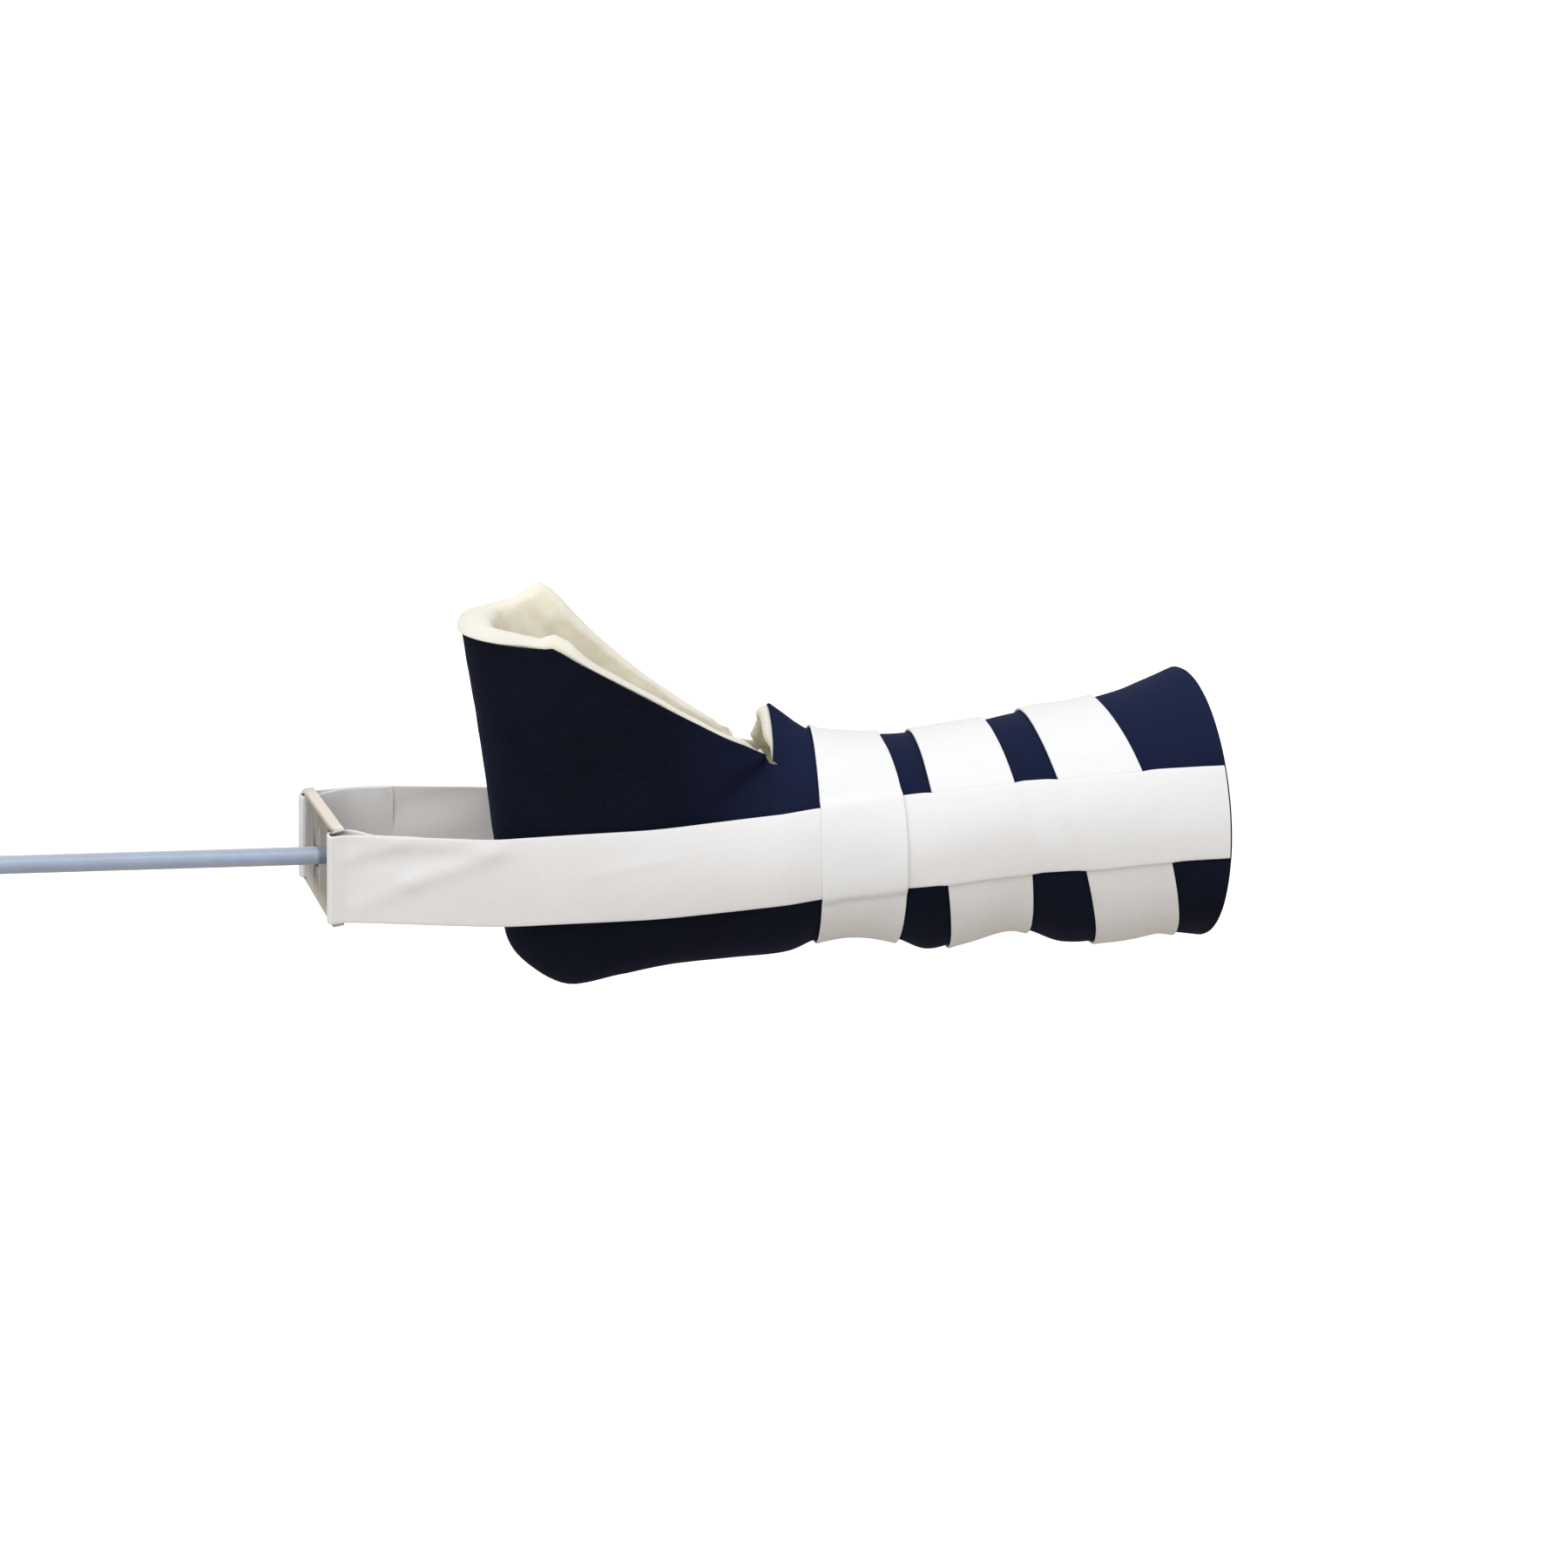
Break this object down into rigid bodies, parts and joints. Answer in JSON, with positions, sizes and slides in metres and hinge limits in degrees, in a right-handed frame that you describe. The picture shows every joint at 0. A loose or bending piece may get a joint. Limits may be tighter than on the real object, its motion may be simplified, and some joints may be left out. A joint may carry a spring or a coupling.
{
  "type": "traction boot",
  "caption": "Padded below-knee traction boot with closing straps, side straps to a metal spreader plate, and a pull cord.",
  "frame": {"origin": "on the leg's axis at the ankle, where the leg holds the boot", "axes": "+X up the leg to the cuff, +Z to the toes, +Y to the far side"},
  "size_m": [0.8015, 0.1682, 0.2434],
  "materials": {
    "navy_cloth": "dark navy brushed cloth, matt",
    "cream_fleece": "thick soft cream fleece padding",
    "white_webbing": "smooth white loop-faced strap",
    "side_webbing": "plain woven white strap with soft creases",
    "bright_steel": "bright plated pressed steel",
    "pale_cord": "smooth pale blue-grey sheathed cord"
  },
  "bodies": {
    "root": {"boot_shell": "navy_cloth", "boot_lining": "cream_fleece", "ankle_strap": "white_webbing", "lower_calf_strap": "white_webbing", "upper_calf_strap": "white_webbing", "near_side_strap": "side_webbing", "far_side_strap": "side_webbing", "spreader_plate": "bright_steel", "traction_cord": "pale_cord", "stopper_knot": "pale_cord", "pull_eye": "pale_cord"}
  },
  "joints": []
}
